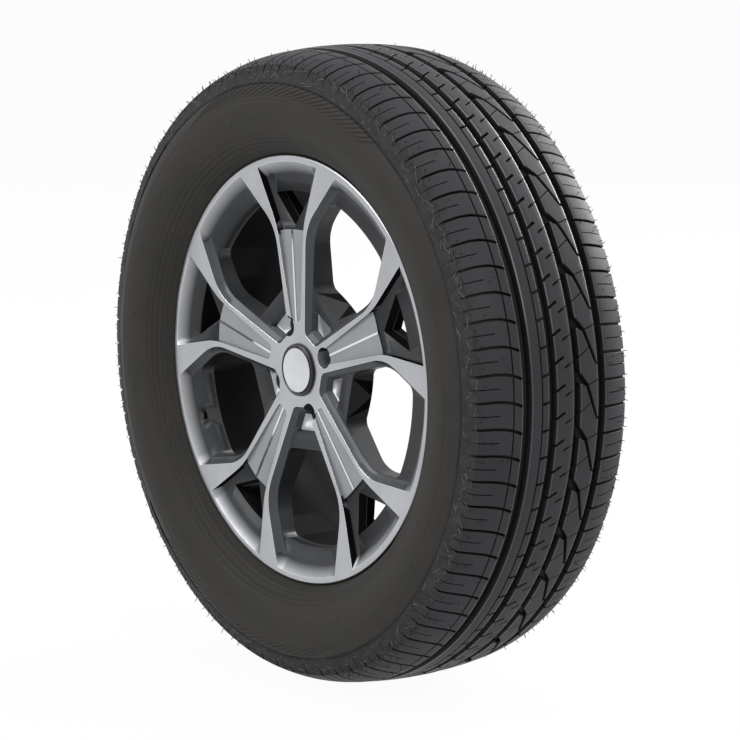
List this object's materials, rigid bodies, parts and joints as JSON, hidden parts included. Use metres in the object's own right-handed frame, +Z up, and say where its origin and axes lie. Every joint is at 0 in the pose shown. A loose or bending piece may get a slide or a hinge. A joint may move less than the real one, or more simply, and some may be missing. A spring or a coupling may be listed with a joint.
{
  "type": "retreaded car tyre on an alloy wheel",
  "caption": "Retreaded road tyre with a new tread bonded to a used casing, mounted on a cast alloy wheel with twin-arm spokes and a bare centre cap.",
  "frame": {"origin": "centre of the wheel: the tyre's mid-plane on the axle line", "axes": "+Y along the axle towards the car, so the street side faces -Y; +Z up, with the tread's flat spot at the bottom"},
  "size_m": [0.702, 0.227, 0.7003],
  "materials": {
    "casing_rubber": "matte",
    "tread_rubber": "matte",
    "cast_alloy": "machined face, dark painted pockets",
    "black_plastic": "satin",
    "bright_disc": "polished",
    "spring_steel": "drawn wire",
    "valve_rubber": "moulded",
    "brass": "turned"
  },
  "bodies": {
    "root": {"tyre_casing": "casing_rubber", "tread_band": "tread_rubber", "alloy_wheel": "cast_alloy", "cap_body": "black_plastic", "cap_disc": "bright_disc", "cap_spring_ring": "spring_steel", "valve_stem": "valve_rubber", "valve_tube": "brass", "valve_core": "brass", "valve_cap": "black_plastic"}
  },
  "joints": []
}
